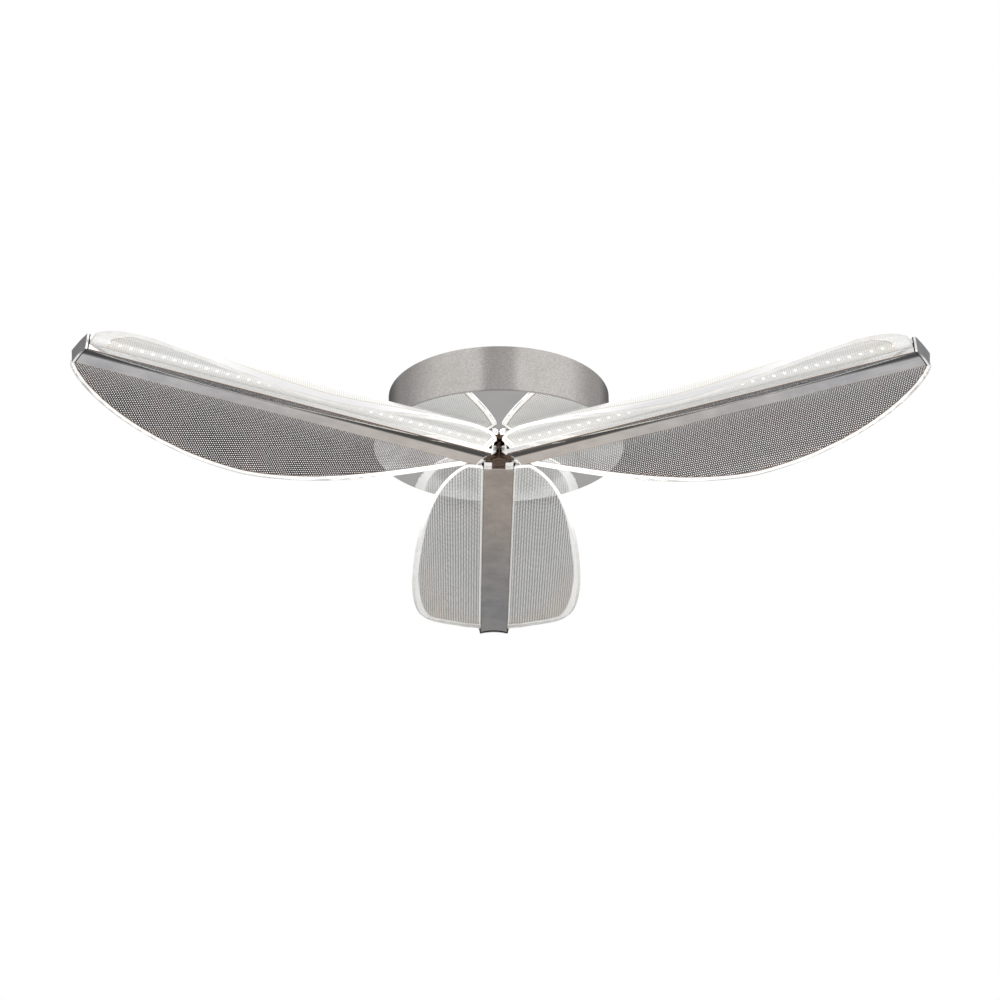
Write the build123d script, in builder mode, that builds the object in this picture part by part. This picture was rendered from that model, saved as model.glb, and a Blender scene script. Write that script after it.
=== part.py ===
from build123d import *
import os
from math import cos, degrees, pi, radians, sin, sqrt, tan

os.makedirs("parts", exist_ok=True)

# LED ceiling light with three leaf arms under a round canopy, in millimetres.
# The ceiling is the plane z = 0 and the light hangs below it. Arm A points along +Y, arm B lies a
# third of a turn anticlockwise from it as seen from above, and arm C a third of a turn clockwise.
# Arm pieces are made once, along +Y, with X across the arm, and then turned to each arm.

# Driving dimensions: the whole light
arm_angles = {"a": 0.0, "b": 120.0, "c": -120.0}
arm_reach = 412.0
canopy_radius = 102.0
canopy_height = 50.0
disc_radius = 115.0
bar_gap = 3.0

# Driving dimensions: canopy, disc and post
canopy_wall = 1.2
canopy_corner = 2.5
disc_thickness = 1.5
disc_edge_chamfer = 0.3
post_radius = 4.0
post_bore_radius = 2.8
post_engagement = 8.0
post_rise = 11.0
nut_across_flats = 13.0
nut_height = 5.0
post_washer_radius = 10.0
post_washer_thickness = 1.2

# Driving dimensions: hub and friction hinges
hub_column_radius = 5.4
hub_core_radius = 7.4
hub_core_rise = 1.0
hub_tongue_width = 12.0
axle_distance = 11.5
axle_rise = 6.2
barrel_radius = 3.2
barrel_half_length = 13.5
pin_radius = 1.5
pin_running_fit = 0.05
sleeve_wall = 0.6
hinge_side_gap = 0.5
hinge_washer_thickness = 0.4
hinge_washer_radius = 2.9
bracket_plate_gap = 0.35
bracket_plate_thickness = 1.5
seat_fit = 0.02

# Driving dimensions: arm bar, its cover and its end cap
bar_height = 12.0
bar_bottom_half = 14.0
bar_top_half = 17.0
bar_hollow_rise = 1.8
bar_edge_radius = 0.4
bar_split_rise = 9.0
spine_half = 9.6
duct_inner = 3.0
duct_outer = 7.6
duct_floor_rise = 3.8
pocket_outer = 12.3
pocket_floor_rise = 2.7
end_cap_thickness = 3.0
end_cap_overhang = 0.6
end_cap_crown = 0.9
end_cap_chamfer = 0.3
prong_fit = 0.12
cap_prong_length = 8.0
bracket_prong_length = 24.0

# Driving dimensions: acrylic leaves
leaf_thickness = 3.0
leaf_bend_radius = 58.0
leaf_root_angle = 12.0
leaf_root_rise = 5.8
leaf_root_depth = 3.0
leaf_spread = 82.0
leaf_widest = 220.0
leaf_inner_tip = 12.0
leaf_inner_roundness = 1.6
leaf_outer_roundness = 1.85
leaf_start = 20.0
leaf_end_gap = 0.5
leaf_slot_fit = 0.15
leaf_stations = 13

# Driving dimensions: LED strips
board_thickness = 1.0
board_height = 5.6
board_end_margin = 6.0
chip_pitch = 10.0
chip_length = 2.8
chip_height = 3.0
chip_thickness = 0.7

# Driving dimensions: small screws
screw_radius = 1.5
screw_head_radius = 2.8
screw_head_height = 1.6
screw_hole_fit = 0.2
screw_slot_width = 0.8
screw_slot_depth = 0.6
cover_screw_length = 7.0
cover_screw_count = 4
cover_screw_margin = 22.0

# Driving dimensions: ceiling strap and what it carries
strap_width = 28.0
strap_thickness = 1.5
strap_wall_gap = 0.3
strap_ear_width = 18.0
strap_ear_drop = 22.0
strap_slot_spacing = 110.0
strap_slot_length = 16.0
strap_slot_width = 5.2
cable_hole_radius = 8.0
grommet_bore_radius = 4.5
grommet_lip = 2.0
small_fitting_place = 28.0
clamp_length = 24.0
clamp_width = 9.0
clamp_height = 5.0
clamp_cable_radius = 3.2
lug_radius = 4.2
lug_thickness = 0.8
canopy_screw_drop = 13.0
canopy_screw_radius = 2.0
canopy_screw_length = 9.0
canopy_screw_head_radius = 4.5
canopy_screw_head_height = 2.8

# Driving dimensions: what stands on the canopy's floor
driver_length = 96.0
driver_width = 36.0
driver_height = 22.0
driver_foot_length = 9.0
driver_foot_thickness = 2.5
driver_place = -44.0
driver_edge_radius = 2.0
block_pole_count = 3
block_pole_pitch = 11.0
block_width = 17.0
block_base_height = 6.0
block_height = 13.0
block_tower_radius = 3.6
block_place = 48.0
lead_radius = 1.0
lead_run = 9.0
lead_rise = 4.0
mains_half_spread = 19.0

# Levels, from the ceiling down
floor_top = -(canopy_height - canopy_wall)
disc_top = -canopy_height
disc_underside = disc_top - disc_thickness
bar_top = disc_underside - bar_gap
bar_bottom = bar_top - bar_height
axle_level = bar_bottom + axle_rise
split_level = bar_bottom + bar_split_rise

# Places along an arm, from the hub axis out
bracket_face = axle_distance + barrel_radius + bracket_plate_gap
bar_start = bracket_face + bracket_plate_thickness
bar_end = arm_reach - end_cap_thickness
leaf_end = bar_end - leaf_end_gap
cover_screw_span = bar_end - bar_start - 2 * cover_screw_margin
cover_screw_pitch = cover_screw_span / (cover_screw_count - 1)
first_cover_screw = bar_start + cover_screw_margin
cover_screw_places = [first_cover_screw + i * cover_screw_pitch for i in range(cover_screw_count)]

# The bend of the leaves: a circle whose axis runs along the arm
bar_side_lean = (bar_top_half - bar_bottom_half) / bar_height
leaf_root_half = bar_bottom_half + bar_side_lean * leaf_root_rise
bend_axis_half = leaf_root_half + leaf_bend_radius * sin(radians(leaf_root_angle))
bend_axis_level = bar_bottom + leaf_root_rise - leaf_bend_radius * cos(radians(leaf_root_angle))
leaf_outer_radius = leaf_bend_radius + leaf_thickness / 2
leaf_inner_radius = leaf_bend_radius - leaf_thickness / 2

# Fits in the hub
bearing_radius = pin_radius + pin_running_fit
sleeve_radius = bearing_radius + sleeve_wall
ear_start = hub_tongue_width / 2 + hinge_side_gap


def leaf_width(distance):
    """Developed width of a leaf at a distance from the hub axis: a superellipse each side."""
    if distance < leaf_widest:
        share = (leaf_widest - distance) / (leaf_widest - leaf_inner_tip)
        roundness = leaf_inner_roundness
    else:
        share = (distance - leaf_widest) / (arm_reach - leaf_widest)
        roundness = leaf_outer_roundness
    return leaf_spread * (1 - share**roundness) ** (1 / roundness)


def leaf_bearing(width):
    """Bearing on the bend circle, in degrees, at a developed width from the bar's side."""
    return 90 + leaf_root_angle - degrees(width / leaf_bend_radius)


def on_bend_circle(radius, bearing):
    """Point in an arm's cross-section, from the bend axis of the leaf on the +X side."""
    return (
        bend_axis_half + radius * cos(radians(bearing)),
        bend_axis_level + radius * sin(radians(bearing)),
    )


def across_arm(distance):
    """Plane square to the arm: its x runs across the arm and its y runs up."""
    return Plane.XZ.offset(-distance)


def along_arm(angle):
    """Upright plane through the hub axis: its x runs out along the arm and its y runs up."""
    turn = radians(angle)
    return Plane(origin=(0, 0, 0), x_dir=(-sin(turn), cos(turn), 0), z_dir=(cos(turn), sin(turn), 0))


def write(part, name):
    part.label = name
    export_step(part, f"parts/{name}.step")


def write_on_arms(part, name):
    for letter, angle in arm_angles.items():
        write(part.rotate(Axis.Z, angle), f"{name}_{letter}")


def lead_path(points):
    """Route of a lead: straight runs joined by arcs as large as the runs allow."""
    corners = [Vector(*point) for point in points]
    radii = []
    for before, here, after in zip(corners, corners[1:], corners[2:]):
        turn = (here - before).get_angle(after - here)
        shorter = min((here - before).length, (after - here).length)
        radii.append(0.45 * shorter / tan(radians(turn) / 2))
    return FilletPolyline(*points, radius=radii)


# Ceiling strap: flat steel with two slots, a cable hole and an ear bent down at each end
canopy_inner_radius = canopy_radius - canopy_wall
strap_half_length = sqrt(canopy_inner_radius**2 - (strap_width / 2) ** 2) - strap_wall_gap
clamp_screw_half = clamp_length / 2 - clamp_width / 3
with BuildPart() as ceiling_strap:
    with BuildSketch(Plane.XY.offset(-strap_thickness)):
        Rectangle(2 * strap_half_length, strap_width)
        with Locations((-strap_slot_spacing / 2, 0), (strap_slot_spacing / 2, 0)):
            SlotOverall(strap_slot_length, strap_slot_width, mode=Mode.SUBTRACT)
        Circle(cable_hole_radius, mode=Mode.SUBTRACT)
        clamp_holes = [(small_fitting_place, side * clamp_screw_half) for side in (-1, 1)]
        with Locations((-small_fitting_place, 0), *clamp_holes):
            Circle(screw_radius + seat_fit, mode=Mode.SUBTRACT)
    extrude(amount=strap_thickness)
    for side in (-1, 1):
        with BuildSketch(Plane.YZ.offset(side * strap_half_length)):
            with Locations((0, -strap_ear_drop / 2)):
                Rectangle(strap_ear_width, strap_ear_drop)
            with Locations((0, -canopy_screw_drop)):
                Circle(canopy_screw_radius + seat_fit, mode=Mode.SUBTRACT)
        extrude(amount=-side * strap_thickness)
    top_edges = ceiling_strap.edges().filter_by(Axis.Y).group_by(Axis.Z)[-1]
    fillet(top_edges.group_by(Axis.X)[0] + top_edges.group_by(Axis.X)[-1], strap_thickness * 0.8)
write(ceiling_strap.part, "ceiling_strap")

# Grommet: a rubber bush in the strap's cable hole, flush with the ceiling
with BuildPart() as cable_grommet:
    with BuildSketch(Plane.XZ):
        with BuildLine():
            Polyline(
                (grommet_bore_radius, 0),
                (cable_hole_radius - seat_fit, 0),
                (cable_hole_radius - seat_fit, -strap_thickness),
                (cable_hole_radius + grommet_lip, -strap_thickness),
                (cable_hole_radius + grommet_lip / 2, -strap_thickness - grommet_lip),
                (grommet_bore_radius, -strap_thickness - grommet_lip),
                close=True,
            )
        make_face()
    revolve(axis=Axis.Z)
write(cable_grommet.part, "cable_grommet")

# Earth screw: a pan-head screw that holds a ring lug under the strap
lug_underside = -strap_thickness - lug_thickness
with BuildPart() as earth_screw:
    with BuildSketch(Plane.XY.offset(lug_underside)):
        with Locations((-small_fitting_place, 0)):
            Circle(lug_radius)
    extrude(amount=lug_thickness)
    with BuildSketch(Plane.XY.offset(lug_underside)):
        with Locations((-small_fitting_place, 0)):
            Circle(screw_radius)
    extrude(amount=strap_thickness + lug_thickness)
    with BuildSketch(Plane.XY.offset(lug_underside)):
        with Locations((-small_fitting_place, 0)):
            Circle(screw_head_radius)
    extrude(amount=-screw_head_height)
    with BuildSketch(Plane.XY.offset(lug_underside - screw_head_height)):
        with Locations((-small_fitting_place, 0)):
            Rectangle(2 * screw_head_radius, screw_slot_width)
    extrude(amount=screw_slot_depth, mode=Mode.SUBTRACT)
write(earth_screw.part, "earth_screw")

# Strain clamp: a moulded saddle across the strap, over the incoming cable
with BuildPart() as strain_clamp:
    with BuildSketch(Plane.XY.offset(-strap_thickness)):
        with Locations((small_fitting_place, 0)):
            RectangleRounded(clamp_width, clamp_length, clamp_width / 3)
            with Locations((0, -clamp_screw_half), (0, clamp_screw_half)):
                Circle(screw_radius + screw_hole_fit, mode=Mode.SUBTRACT)
    extrude(amount=-clamp_height)
    with BuildSketch(Plane.YZ.offset(small_fitting_place)):
        with Locations((0, -strap_thickness)):
            Circle(clamp_cable_radius)
    extrude(amount=clamp_width, both=True, mode=Mode.SUBTRACT)
write(strain_clamp.part, "strain_clamp")

# Strain clamp screws: they rise through the saddle into the strap
with BuildPart() as strain_clamp_screws:
    for side in (-1, 1):
        with BuildSketch(Plane.XY.offset(-strap_thickness - clamp_height)):
            with Locations((small_fitting_place, side * clamp_screw_half)):
                Circle(screw_head_radius)
        extrude(amount=-screw_head_height)
        with BuildSketch(Plane.XY.offset(-strap_thickness - clamp_height)):
            with Locations((small_fitting_place, side * clamp_screw_half)):
                Circle(screw_radius)
        extrude(amount=clamp_height + strap_thickness)
        with BuildSketch(Plane.XY.offset(-strap_thickness - clamp_height - screw_head_height)):
            with Locations((small_fitting_place, side * clamp_screw_half)):
                Rectangle(2 * screw_head_radius, screw_slot_width)
        extrude(amount=screw_slot_depth, mode=Mode.SUBTRACT)
write(strain_clamp_screws.part, "strain_clamp_screws")

# Canopy shell: a drawn steel cup whose open side meets the ceiling
block_length = block_pole_count * block_pole_pitch
driver_screw_half = driver_length / 2 - driver_foot_length / 2
driver_screw_places = [(side * driver_screw_half, driver_place) for side in (-1, 1)]
block_screw_place = (block_pole_pitch / 2, block_place)
with BuildPart() as canopy_shell:
    Cylinder(canopy_radius, canopy_height, align=(Align.CENTER, Align.CENTER, Align.MAX))
    fillet(canopy_shell.edges().sort_by(Axis.Z)[0], canopy_corner)
    offset(amount=-canopy_wall, openings=canopy_shell.faces().sort_by(Axis.Z)[-1])
    with BuildSketch(Plane.XY.offset(disc_top)):
        Circle(post_radius + seat_fit)
        with Locations(*driver_screw_places, block_screw_place):
            Circle(screw_radius + seat_fit)
    extrude(amount=2 * canopy_wall, mode=Mode.SUBTRACT)
    with BuildSketch(Plane.YZ):
        with Locations((0, -canopy_screw_drop)):
            Circle(canopy_screw_radius + screw_hole_fit)
    extrude(amount=2 * canopy_radius, both=True, mode=Mode.SUBTRACT)
write(canopy_shell.part, "canopy_shell")

# Canopy screws: one at each end of the strap, with a round slotted head outside the wall
with BuildPart() as canopy_screws:
    for side in (-1, 1):
        seat = Plane.YZ.offset(side * canopy_radius)
        with BuildSketch(seat):
            with Locations((0, -canopy_screw_drop)):
                Circle(canopy_screw_head_radius)
        extrude(amount=side * canopy_screw_head_height)
        with BuildSketch(seat):
            with Locations((0, -canopy_screw_drop)):
                Circle(canopy_screw_radius)
        extrude(amount=-side * canopy_screw_length)
    head_rims = canopy_screws.edges().filter_by(GeomType.CIRCLE).group_by(Axis.X)
    fillet(head_rims[0] + head_rims[-1], canopy_screw_head_height / 3)
    for side in (-1, 1):
        with BuildSketch(Plane.YZ.offset(side * (canopy_radius + canopy_screw_head_height))):
            with Locations((0, -canopy_screw_drop)):
                Rectangle(2 * canopy_screw_head_radius, screw_slot_width)
        extrude(amount=-side * screw_slot_depth, mode=Mode.SUBTRACT)
write(canopy_screws.part, "canopy_screws")

# Polished disc: a mirror-finished plate, wider than the canopy, clamped under its floor
with BuildPart() as polished_disc:
    with BuildSketch(Plane.XY.offset(disc_underside)):
        Circle(disc_radius)
        Circle(post_radius + seat_fit, mode=Mode.SUBTRACT)
    extrude(amount=disc_thickness)
    rims = polished_disc.edges().filter_by(GeomType.CIRCLE).sort_by(SortBy.RADIUS)[-2:]
    chamfer(rims, disc_edge_chamfer)
write(polished_disc.part, "polished_disc")

# Centre post: a hollow threaded tube that clamps hub, disc and canopy together
post_bottom = disc_underside - post_engagement
with BuildPart() as centre_post:
    with BuildSketch(Plane.XY.offset(post_bottom)):
        Circle(post_radius)
        Circle(post_bore_radius, mode=Mode.SUBTRACT)
    extrude(amount=floor_top + post_rise - post_bottom)
write(centre_post.part, "centre_post")

with BuildPart() as post_washer:
    with BuildSketch(Plane.XY.offset(floor_top)):
        Circle(post_washer_radius)
        Circle(post_radius + seat_fit, mode=Mode.SUBTRACT)
    extrude(amount=post_washer_thickness)
write(post_washer.part, "post_washer")

nut_seat = floor_top + post_washer_thickness
with BuildPart() as post_nut:
    with BuildSketch(Plane.XY.offset(nut_seat)):
        RegularPolygon(nut_across_flats / 2, 6, major_radius=False)
        Circle(post_radius + seat_fit, mode=Mode.SUBTRACT)
    extrude(amount=nut_height)
write(post_nut.part, "post_nut")

# Hub: a column under the disc, a round core and one hinge tongue for each arm
hub_bottom = bar_bottom + hub_core_rise
with BuildPart() as hub_block:
    with BuildSketch(Plane.XY.offset(hub_bottom)):
        Circle(hub_core_radius)
    extrude(amount=axle_level + barrel_radius - hub_bottom)
    chamfer(hub_block.edges().filter_by(GeomType.CIRCLE), hub_core_rise)
    with BuildSketch(Plane.XY.offset(axle_level)):
        Circle(hub_column_radius)
    extrude(amount=disc_underside - axle_level)
    for angle in arm_angles.values():
        with BuildSketch(along_arm(angle)):
            with Locations((axle_distance / 2, axle_level)):
                Rectangle(axle_distance, 2 * barrel_radius)
            with Locations((axle_distance, axle_level)):
                Circle(barrel_radius)
        extrude(amount=hub_tongue_width / 2, both=True)
    for angle in arm_angles.values():
        with BuildSketch(along_arm(angle)):
            with Locations((axle_distance, axle_level)):
                Circle(sleeve_radius + seat_fit)
        extrude(amount=hub_tongue_width, both=True, mode=Mode.SUBTRACT)
    with BuildSketch(Plane.XY.offset(disc_underside)):
        Circle(post_radius + seat_fit)
    extrude(amount=-post_engagement, mode=Mode.SUBTRACT)
write(hub_block.part, "hub_block")

# Friction sleeve: a bush in each tongue that grips the hinge pin
with BuildPart() as friction_sleeve:
    with BuildSketch(along_arm(0)):
        with Locations((axle_distance, axle_level)):
            Circle(sleeve_radius)
            Circle(bearing_radius, mode=Mode.SUBTRACT)
    extrude(amount=hub_tongue_width / 2, both=True)
write_on_arms(friction_sleeve.part, "friction_sleeve")

with BuildPart() as hinge_pin:
    with BuildSketch(along_arm(0)):
        with Locations((axle_distance, axle_level)):
            Circle(pin_radius)
    extrude(amount=barrel_half_length, both=True)
write_on_arms(hinge_pin.part, "hinge_pin")

with BuildPart() as hinge_washers:
    for side in (-1, 1):
        with BuildSketch(along_arm(0).offset(side * ear_start)):
            with Locations((axle_distance, axle_level)):
                Circle(hinge_washer_radius)
                Circle(pin_radius + seat_fit, mode=Mode.SUBTRACT)
        extrude(amount=-side * hinge_washer_thickness)
write_on_arms(hinge_washers.part, "hinge_washers")

# Bar section: leaning sides and a hollowed underside, shared by bar, cover, bracket and cap
with BuildSketch() as bar_outline:
    with BuildLine():
        ThreePointArc(
            (-bar_bottom_half, bar_bottom),
            (0, bar_bottom + bar_hollow_rise),
            (bar_bottom_half, bar_bottom),
        )
        Polyline(
            (bar_bottom_half, bar_bottom),
            (bar_top_half, bar_top),
            (-bar_top_half, bar_top),
            (-bar_bottom_half, bar_bottom),
        )
    make_face()
    fillet(bar_outline.vertices(), bar_edge_radius)

# Duct pair: the two hollows beside the bar's screw rib, or the prongs that enter them
duct_width = duct_outer - duct_inner
duct_height = bar_split_rise - duct_floor_rise
duct_middle = (duct_inner + duct_outer) / 2
duct_level = split_level - duct_height / 2


def duct_pair(fit):
    """Rectangles at both ducts, smaller all round by the fit."""
    with Locations((-duct_middle, duct_level), (duct_middle, duct_level)):
        Rectangle(duct_width - 2 * fit, duct_height - 2 * fit)


# Hinge bracket: a chromed end plate with two barrels round the pin and two prongs in the bar
with BuildPart() as hinge_bracket:
    with BuildSketch(across_arm(bracket_face)):
        add(bar_outline.sketch)
    extrude(amount=-bracket_plate_thickness)
    ear_middle = (ear_start + barrel_half_length) / 2
    ear_length = barrel_half_length - ear_start
    for side in (-1, 1):
        with BuildSketch(along_arm(0).offset(side * ear_middle)):
            with Locations((axle_distance, axle_level)):
                Circle(barrel_radius)
            with Locations(((axle_distance + bar_start) / 2, axle_level)):
                Rectangle(bar_start - axle_distance, 1.2 * barrel_radius)
        extrude(amount=ear_length / 2, both=True)
    with BuildSketch(along_arm(0)):
        with Locations((axle_distance, axle_level)):
            Circle(pin_radius + seat_fit)
    extrude(amount=2 * barrel_half_length, both=True, mode=Mode.SUBTRACT)
    with BuildSketch(across_arm(bar_start)):
        duct_pair(prong_fit)
    extrude(amount=-bracket_prong_length)
write_on_arms(hinge_bracket.part, "hinge_bracket")

# Leaf slot: what the bar gives up to the leaf, from just under it to the bar's side
slot_reach = 2 * bar_top_half
with BuildSketch() as over_lower_lip:
    with Locations((pocket_outer, bar_bottom)):
        Rectangle(slot_reach, bar_height, align=(Align.MIN, Align.MIN))
    with Locations((bend_axis_half, bend_axis_level)):
        Circle(leaf_inner_radius - leaf_slot_fit, mode=Mode.SUBTRACT)
    mirror(about=Plane.YZ)

# Cover zone: above the split, and down to the leaf beyond the LED pocket
with BuildSketch() as cover_zone:
    with Locations((pocket_outer, bar_bottom)):
        Rectangle(slot_reach, bar_split_rise, align=(Align.MIN, Align.MIN))
    with Locations((bend_axis_half, bend_axis_level)):
        Circle(leaf_outer_radius + leaf_slot_fit, mode=Mode.SUBTRACT)
    mirror(about=Plane.YZ)
    with Locations((0, split_level)):
        Rectangle(slot_reach + 2 * pocket_outer, bar_height, align=(Align.CENTER, Align.MIN))

# Bar: an extruded channel with a screw rib, two ducts and a lip under each leaf
cover_thickness = bar_height - bar_split_rise
pocket_width = pocket_outer - spine_half
pocket_height = bar_split_rise - pocket_floor_rise
pocket_middle = (spine_half + pocket_outer) / 2
pocket_level = split_level - pocket_height / 2
with BuildPart() as bar:
    with BuildSketch(across_arm(bar_start)):
        add(bar_outline.sketch)
        add(cover_zone.sketch, mode=Mode.SUBTRACT)
        add(over_lower_lip.sketch, mode=Mode.SUBTRACT)
        with Locations((-pocket_middle, pocket_level), (pocket_middle, pocket_level)):
            Rectangle(pocket_width, pocket_height, mode=Mode.SUBTRACT)
        with Locations((-duct_middle, duct_level), (duct_middle, duct_level)):
            Rectangle(duct_width, duct_height, mode=Mode.SUBTRACT)
    extrude(amount=-(bar_end - bar_start))
    with BuildSketch(Plane.XY.offset(split_level)):
        with Locations(*[(0, place) for place in cover_screw_places]):
            Circle(screw_radius + seat_fit)
    extrude(amount=-(cover_screw_length - cover_thickness + screw_hole_fit), mode=Mode.SUBTRACT)
write_on_arms(bar.part, "bar")

# Bar cover: it closes the ducts and clamps both leaves from above
with BuildPart() as bar_cover:
    with BuildSketch(across_arm(bar_start)):
        add(bar_outline.sketch)
        add(cover_zone.sketch, mode=Mode.INTERSECT)
    extrude(amount=-(bar_end - bar_start))
    with Locations(*[(0, place, bar_top) for place in cover_screw_places]):
        CounterSinkHole(screw_radius + seat_fit, screw_head_radius + seat_fit, counter_sink_angle=90)
write_on_arms(bar_cover.part, "bar_cover")

# Cover screws: countersunk, each with a slot
sink_depth = screw_head_radius - screw_radius
with BuildPart() as cover_screws:
    with BuildSketch(Plane.YZ):
        with BuildLine():
            Polyline(
                (0, bar_top),
                (screw_head_radius, bar_top),
                (screw_radius, bar_top - sink_depth),
                (screw_radius, bar_top - cover_screw_length),
                (0, bar_top - cover_screw_length),
                close=True,
            )
        make_face()
    revolve(axis=Axis.Z)
    with BuildSketch(Plane.XY.offset(bar_top)):
        Rectangle(2 * screw_head_radius, screw_slot_width)
    extrude(amount=-screw_slot_depth, mode=Mode.SUBTRACT)
one_cover_screw = cover_screws.part
with BuildPart() as cover_screw_row:
    with Locations(*[(0, place, 0) for place in cover_screw_places]):
        add(one_cover_screw)
write_on_arms(cover_screw_row.part, "cover_screws")

# End cap: a plate a little larger than the bar, crowned on top, on two prongs
cap_top = bar_top + end_cap_overhang
cap_bottom = bar_bottom - end_cap_overhang
cap_top_half = bar_top_half + end_cap_overhang
cap_bottom_half = bar_bottom_half + end_cap_overhang
with BuildPart() as end_cap:
    with BuildSketch(across_arm(bar_end)) as cap_outline:
        with BuildLine():
            hollow = ThreePointArc(
                (-cap_bottom_half, cap_bottom),
                (0, cap_bottom + bar_hollow_rise),
                (cap_bottom_half, cap_bottom),
            )
            crown = ThreePointArc(
                (cap_top_half, cap_top),
                (0, cap_top + end_cap_crown),
                (-cap_top_half, cap_top),
            )
            Line(hollow @ 1, crown @ 0)
            Line(crown @ 1, hollow @ 0)
        make_face()
        fillet(cap_outline.vertices(), 2 * bar_edge_radius)
    extrude(amount=-end_cap_thickness)
    chamfer(end_cap.faces().sort_by(Axis.Y)[-1].edges(), end_cap_chamfer)
    with BuildSketch(across_arm(bar_end)):
        duct_pair(prong_fit)
    extrude(amount=cap_prong_length)
write_on_arms(end_cap.part, "end_cap")

# Leaf: a bent acrylic sheet, cut square to its face along a leaf outline
root_bearing = leaf_bearing(-leaf_root_depth)
rim_bearing = leaf_bearing(leaf_spread) - degrees(leaf_thickness / leaf_bend_radius)
cutter_radius = 2 * leaf_bend_radius
cutter_start_bearing = root_bearing + degrees(leaf_thickness / leaf_bend_radius)
leaf_run = leaf_end - leaf_start
station_shares = [(1 - cos(pi * i / (leaf_stations - 1))) / 2 for i in range(leaf_stations)]
station_places = [leaf_start + leaf_run * share for share in station_shares]
with BuildPart() as rim_cutter:
    for place in station_places:
        with BuildSketch(across_arm(place)):
            with BuildLine():
                Polyline(
                    (bend_axis_half, bend_axis_level),
                    on_bend_circle(cutter_radius, cutter_start_bearing),
                    on_bend_circle(cutter_radius, leaf_bearing(leaf_width(place))),
                    close=True,
                )
            make_face()
    loft()
with BuildPart() as leaf:
    with BuildSketch(across_arm(leaf_start)):
        with BuildLine():
            axis_point = (bend_axis_half, bend_axis_level)
            sweep_angle = rim_bearing - root_bearing
            over = CenterArc(axis_point, leaf_outer_radius, root_bearing, sweep_angle)
            under = CenterArc(axis_point, leaf_inner_radius, root_bearing, sweep_angle)
            Line(over @ 0, under @ 0)
            Line(over @ 1, under @ 1)
        make_face()
    extrude(amount=-leaf_run)
    add(rim_cutter.part, mode=Mode.INTERSECT)
write_on_arms(leaf.part, "leaf_right")
write_on_arms(leaf.part.mirror(Plane.YZ), "leaf_left")

# LED strip: a narrow board on the side of the spine, with chips that face the leaf's root
board_start = bar_start + board_end_margin
board_end = bar_end - board_end_margin
board_low = bar_bottom + pocket_floor_rise + seat_fit
board_face = spine_half + board_thickness
chip_count = int((board_end - board_start) / chip_pitch)
chip_level = bend_axis_level + leaf_bend_radius * sin(radians(root_bearing))
with BuildPart() as led_strip:
    with BuildSketch(across_arm(board_start)):
        with Locations((spine_half, board_low)):
            Rectangle(board_thickness, board_height, align=(Align.MIN, Align.MIN))
    extrude(amount=-(board_end - board_start))
    with BuildSketch(Plane.YZ.offset(board_face)):
        with Locations(((board_start + board_end) / 2, chip_level)):
            with GridLocations(chip_pitch, 0, chip_count, 1):
                Rectangle(chip_length, chip_height)
    extrude(amount=chip_thickness)
write_on_arms(led_strip.part, "led_strip_right")
write_on_arms(led_strip.part.mirror(Plane.YZ), "led_strip_left")

# LED driver: a moulded box on two screwed feet
with BuildPart() as led_driver:
    body_length = driver_length - 2 * driver_foot_length
    with BuildSketch(Plane.XY.offset(floor_top)):
        with Locations((0, driver_place)):
            RectangleRounded(body_length, driver_width, driver_edge_radius)
    extrude(amount=driver_height)
    fillet(led_driver.faces().sort_by(Axis.Z)[-1].edges(), driver_edge_radius / 2)
    with BuildSketch(Plane.XY.offset(floor_top)):
        with Locations((0, driver_place)):
            RectangleRounded(driver_length, driver_width / 2, driver_edge_radius)
    extrude(amount=driver_foot_thickness)
    with BuildSketch(Plane.XY.offset(floor_top)):
        with Locations(*driver_screw_places):
            Circle(screw_radius + screw_hole_fit)
    extrude(amount=driver_height, mode=Mode.SUBTRACT)
write(led_driver.part, "led_driver")

with BuildPart() as driver_screws:
    for place in driver_screw_places:
        with BuildSketch(Plane.XY.offset(disc_top)):
            with Locations(place):
                Circle(screw_radius)
        extrude(amount=canopy_wall + driver_foot_thickness)
        with BuildSketch(Plane.XY.offset(floor_top + driver_foot_thickness)):
            with Locations(place):
                Circle(screw_head_radius)
        extrude(amount=screw_head_height)
        with BuildSketch(Plane.XY.offset(floor_top + driver_foot_thickness + screw_head_height)):
            with Locations(place):
                Rectangle(2 * screw_head_radius, screw_slot_width)
        extrude(amount=-screw_slot_depth, mode=Mode.SUBTRACT)
write(driver_screws.part, "driver_screws")

# Terminal block: a base with one tower for each pole and a wire hole through each
with BuildPart() as terminal_block:
    with BuildSketch(Plane.XY.offset(floor_top)):
        with Locations((0, block_place)):
            RectangleRounded(block_length, block_width, screw_radius)
    extrude(amount=block_base_height)
    with BuildSketch(Plane.XY.offset(floor_top + block_base_height)):
        with Locations((0, block_place)):
            with GridLocations(block_pole_pitch, block_width / 2, block_pole_count, 2):
                Circle(block_tower_radius)
    extrude(amount=block_height - block_base_height)
    with BuildSketch(Plane.XY.offset(floor_top + block_height)):
        with Locations((0, block_place)):
            with GridLocations(block_pole_pitch, block_width / 2, block_pole_count, 2):
                Circle(block_tower_radius / 2)
    extrude(amount=-block_tower_radius, mode=Mode.SUBTRACT)
    with BuildSketch(Plane.XY.offset(floor_top)):
        with Locations(block_screw_place):
            Circle(screw_radius + seat_fit)
    extrude(amount=block_height, mode=Mode.SUBTRACT)
write(terminal_block.part, "terminal_block")

with BuildPart() as terminal_screw:
    with BuildSketch(Plane.XY.offset(disc_top)):
        with Locations(block_screw_place):
            Circle(screw_radius)
    extrude(amount=canopy_wall + block_base_height)
    with BuildSketch(Plane.XY.offset(floor_top + block_base_height)):
        with Locations(block_screw_place):
            Circle(screw_head_radius / 1.5)
    extrude(amount=screw_head_height)
write(terminal_screw.part, "terminal_screw")

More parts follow.
